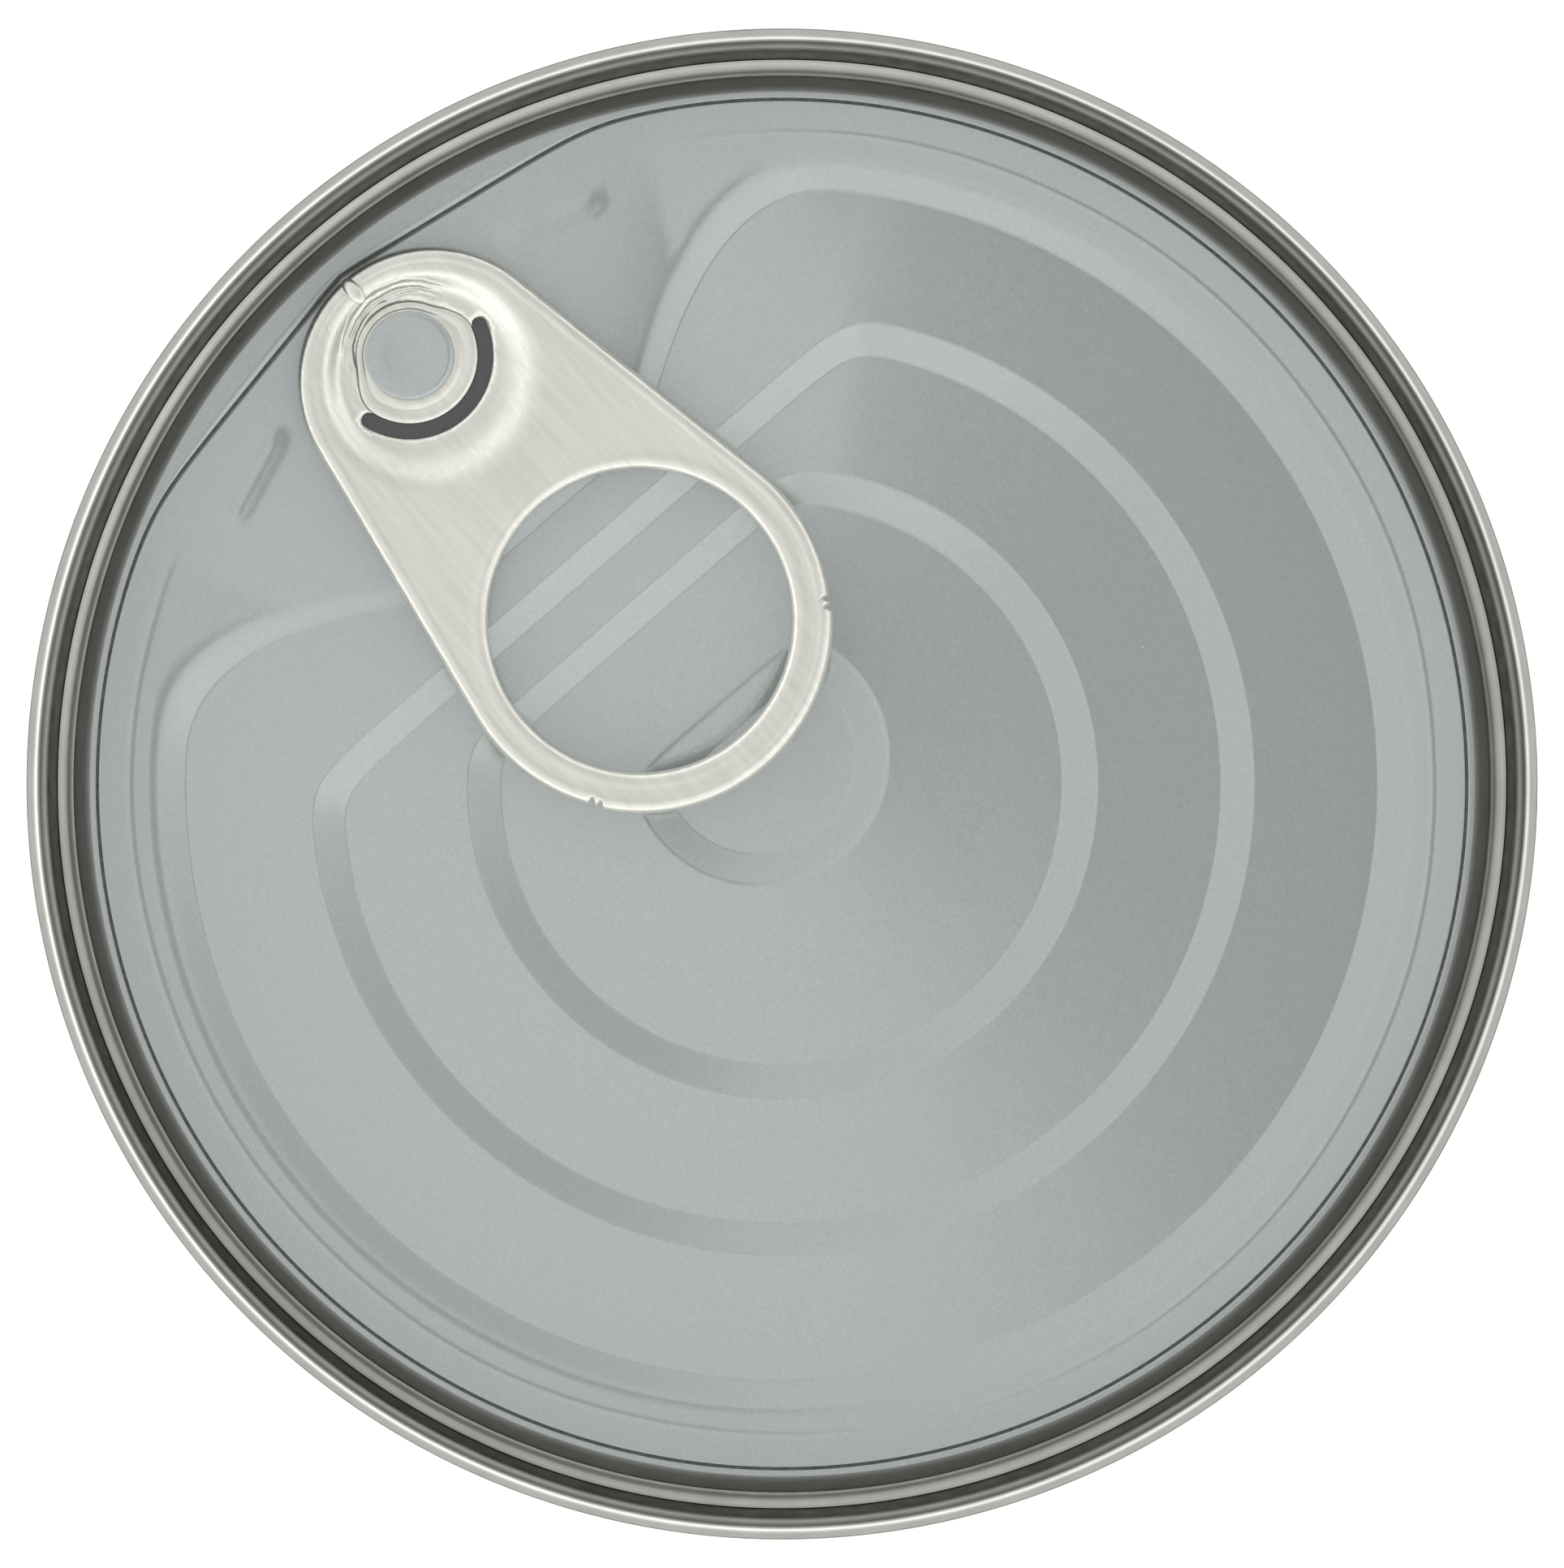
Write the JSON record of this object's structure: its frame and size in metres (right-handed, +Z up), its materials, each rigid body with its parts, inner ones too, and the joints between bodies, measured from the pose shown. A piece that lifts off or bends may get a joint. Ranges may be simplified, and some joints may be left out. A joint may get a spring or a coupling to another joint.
{
  "type": "tennis ball can",
  "caption": "Clear cylindrical ball can with a printed sleeve, a double-seamed ring-pull metal end that tears open, and felt tennis balls inside.",
  "frame": {"origin": "centre of the standing ring, on the surface the can stands on", "axes": "+Z up along the can's axis, -Y towards the pull tab's nose, +Y towards its finger ring"},
  "size_m": [0.0762, 0.0762, 0.209],
  "materials": {
    "clear_plastic": "clear, glossy, slightly blue-green in thickness",
    "label_print": null,
    "tinplate": "bright tinplate with a clear coat",
    "panel_lacquer": "semi-gloss grey lacquer over tinplate, finely grained",
    "tab_metal": "bare rolled metal with a fine grain",
    "seal_compound": "matt",
    "ball_felt": "fuzzy optic-yellow felt",
    "core_rubber": "moulded",
    "seam_rubber": "vulcanised rubber cement"
  },
  "bodies": {
    "can": {"can_body": "clear_plastic", "label_sleeve": "label_print", "end_ring": "tinplate", "seam_compound": "seal_compound"},
    "lid": {"tear_panel": "panel_lacquer", "tab_rivet_tongue": "tab_metal"},
    "tab": {"pull_tab": "tab_metal"},
    "ball_low": {"ball_1_core_lower": "core_rubber", "ball_1_core_upper": "core_rubber", "ball_1_felt_a": "ball_felt", "ball_1_felt_b": "ball_felt", "ball_1_seam": "seam_rubber"},
    "ball_mid": {"ball_2_core_lower": "core_rubber", "ball_2_core_upper": "core_rubber", "ball_2_felt_a": "ball_felt", "ball_2_felt_b": "ball_felt", "ball_2_seam": "seam_rubber"},
    "ball_top": {"ball_3_core_lower": "core_rubber", "ball_3_core_upper": "core_rubber", "ball_3_felt_a": "ball_felt", "ball_3_felt_b": "ball_felt", "ball_3_seam": "seam_rubber"}
  },
  "joints": [
    {"name": "panel_tear", "type": "hinge", "parent": "can", "child": "lid", "pos_m": [0, 0.03457, 0.209], "axis": [-1, 0, 0], "range_deg": [0, 100]},
    {"name": "tab_lift", "type": "hinge", "parent": "lid", "child": "tab", "pos_m": [0, -0.0337, 0.2062], "axis": [1, 0, 0], "range_deg": [0, 90]},
    {"name": "top_ball_rattle", "type": "slide", "parent": "can", "child": "ball_top", "axis": [0, 0, 1], "range_m": [0, 0.002]},
    {"name": "middle_ball_rattle", "type": "slide", "parent": "can", "child": "ball_mid", "axis": [0, 0, 1], "range_m": [0, 0.002]},
    {"name": "bottom_ball_rattle", "type": "slide", "parent": "can", "child": "ball_low", "axis": [0, 0, 1], "range_m": [0, 0.002]}
  ],
  "couplings": [
    {"joint": "middle_ball_rattle", "follows": "top_ball_rattle", "ratio": 1},
    {"joint": "bottom_ball_rattle", "follows": "top_ball_rattle", "ratio": 1}
  ]
}
